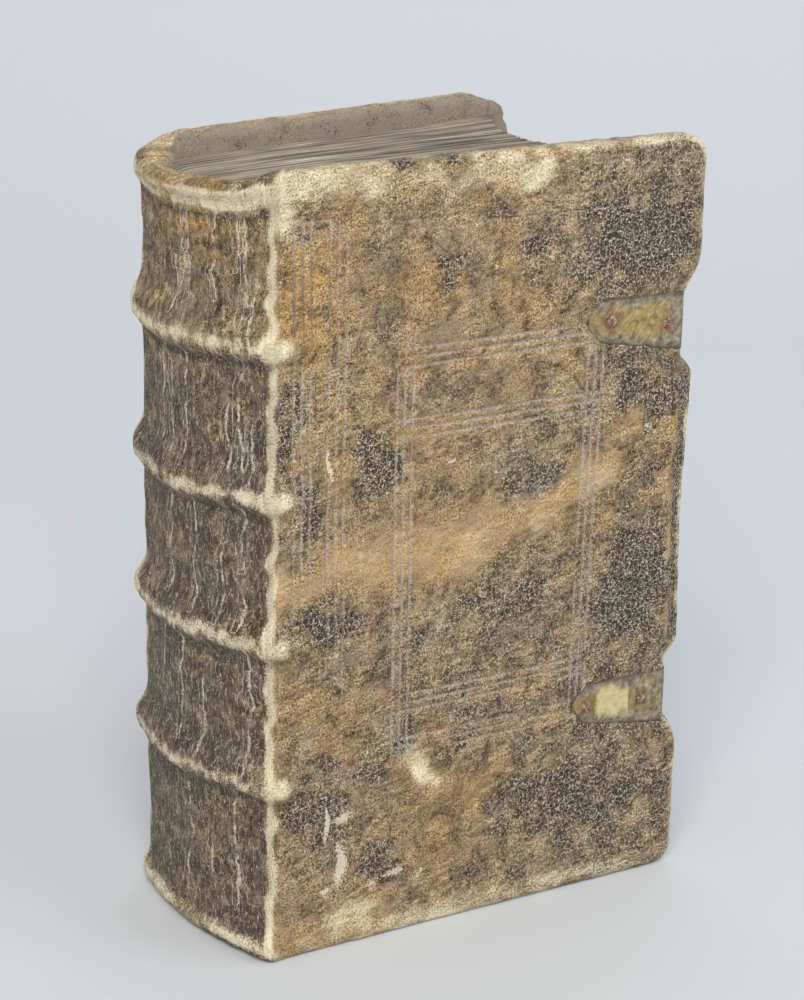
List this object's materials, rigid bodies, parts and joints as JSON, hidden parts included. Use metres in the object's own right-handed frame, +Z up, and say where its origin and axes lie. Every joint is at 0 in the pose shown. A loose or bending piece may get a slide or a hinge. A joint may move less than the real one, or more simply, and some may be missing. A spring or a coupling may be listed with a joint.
{
  "type": "antique bible",
  "caption": "Thick antique bible in worn blind-tooled leather over wooden boards, with raised bands on the back and brass catch plates; both covers swing open on their joints.",
  "frame": {"origin": "on the surface the book stands on, at the middle of its footprint", "axes": "+Z up from tail to head, the back of the book towards -X, the front cover facing -Y"},
  "size_m": [0.1226, 0.079, 0.19],
  "materials": {
    "rag_paper": "matt, aged, dusty at the edges",
    "leather": "worn, crackled, blind tooled",
    "cord": "laid hemp cord",
    "lining_paper": "matt, foxed",
    "board_wood": "planed, aged",
    "brass": "tarnished",
    "rivet_iron": "rusted"
  },
  "bodies": {
    "book_block": {"text_block": "rag_paper", "spine_leather": "leather", "head_endband": "cord", "tail_endband": "cord", "sewing_band_1": "cord", "sewing_band_2": "cord", "sewing_band_3": "cord", "sewing_band_4": "cord", "spine_lining_1": "lining_paper", "spine_lining_2": "lining_paper", "spine_lining_3": "lining_paper", "spine_lining_4": "lining_paper", "spine_lining_5": "lining_paper"},
    "front_cover": {"front_board": "board_wood", "front_cover_leather": "leather", "front_pastedown": "lining_paper", "front_lacing_pegs": "board_wood", "front_slip_1": "cord", "front_slip_2": "cord", "front_slip_3": "cord", "front_slip_4": "cord", "upper_catch_plate": "brass", "lower_catch_plate": "brass", "catch_rivets": "rivet_iron"},
    "back_cover": {"back_board": "board_wood", "back_cover_leather": "leather", "back_pastedown": "lining_paper", "back_lacing_pegs": "board_wood", "back_slip_1": "cord", "back_slip_2": "cord", "back_slip_3": "cord", "back_slip_4": "cord"}
  },
  "joints": [
    {"name": "front_cover_hinge", "type": "hinge", "parent": "book_block", "child": "front_cover", "pos_m": [-0.05462, -0.0285, 0.095], "axis": [0, 0, -1], "range_deg": [0, 140]},
    {"name": "back_cover_hinge", "type": "hinge", "parent": "book_block", "child": "back_cover", "pos_m": [-0.05462, 0.0285, 0.095], "axis": [0, 0, 1], "range_deg": [0, 140]}
  ]
}
